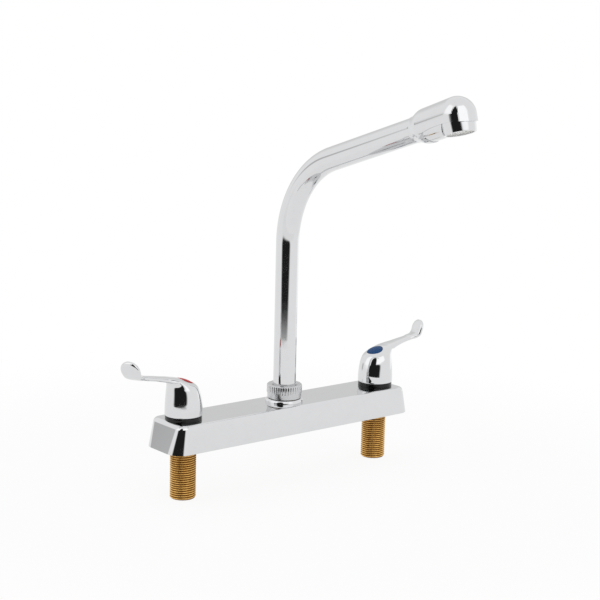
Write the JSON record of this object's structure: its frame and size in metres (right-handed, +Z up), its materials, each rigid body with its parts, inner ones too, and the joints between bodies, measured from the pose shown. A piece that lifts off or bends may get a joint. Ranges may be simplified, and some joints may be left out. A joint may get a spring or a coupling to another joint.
{
  "type": "kitchen mixer tap",
  "caption": "Deck mounted kitchen mixer tap with a long chrome cover, lever handles for hot and cold, threaded brass shanks and a high swivel spout.",
  "frame": {"origin": "on the spout's axis, at the cover's underside", "axes": "+Z up along the spout's axis, +X along the cover towards the cold side, -Y towards the user, where the spout points at rest"},
  "size_m": [0.311, 0.2249, 0.324],
  "materials": {
    "chrome": "polished chrome plate",
    "brass": "machined yellow brass, threaded",
    "raw_brass": "sand blasted brass body",
    "copper": "drawn copper tube",
    "ceramic": "lapped white ceramic",
    "seal": "black moulded rubber",
    "black_trim": "gloss black plastic",
    "red_index": "red moulded plastic",
    "blue_index": "dark blue moulded plastic",
    "steel": "stainless steel",
    "white_plastic": "white acetal"
  },
  "bodies": {
    "deck": {"deck_cover": "chrome", "spout_post": "raw_brass", "spout_nut": "chrome", "hot_shank": "brass", "hot_valve_body": "raw_brass", "hot_cross_tube": "copper", "hot_cover_nut": "raw_brass", "hot_hub_ring": "black_trim", "hot_bonnet": "brass", "hot_seat_seal": "seal", "hot_fixed_disc": "ceramic", "cold_shank": "brass", "cold_valve_body": "raw_brass", "cold_cross_tube": "copper", "cold_cover_nut": "raw_brass", "cold_hub_ring": "black_trim", "cold_bonnet": "brass", "cold_seat_seal": "seal", "cold_fixed_disc": "ceramic"},
    "spout": {"spout_tube": "chrome", "spout_split_ring": "steel", "spout_guide_bush": "white_plastic", "spout_seals": "seal", "spout_head": "chrome", "head_seal": "seal", "aerator_shell": "chrome", "aerator_washer": "seal", "aerator_insert": "white_plastic", "aerator_screen": "white_plastic"},
    "hot_lever": {"hot_moving_disc": "ceramic", "hot_spindle": "brass", "hot_spindle_seal": "seal", "hot_handle": "chrome", "hot_handle_screw": "steel", "hot_index_button": "red_index"},
    "cold_lever": {"cold_moving_disc": "ceramic", "cold_spindle": "brass", "cold_spindle_seal": "seal", "cold_handle": "chrome", "cold_handle_screw": "steel", "cold_index_button": "blue_index"}
  },
  "joints": [
    {"name": "spout_swivel", "type": "hinge", "parent": "deck", "child": "spout", "pos_m": [0, 0, 0], "axis": [0, 0, 1], "continuous": true},
    {"name": "hot_lever_turn", "type": "hinge", "parent": "deck", "child": "hot_lever", "pos_m": [-0.1016, 0, 0], "axis": [0, 0, 1], "range_deg": [0, 90]},
    {"name": "cold_lever_turn", "type": "hinge", "parent": "deck", "child": "cold_lever", "pos_m": [0.1016, 0, 0], "axis": [0, 0, 1], "range_deg": [-90, 0]}
  ]
}
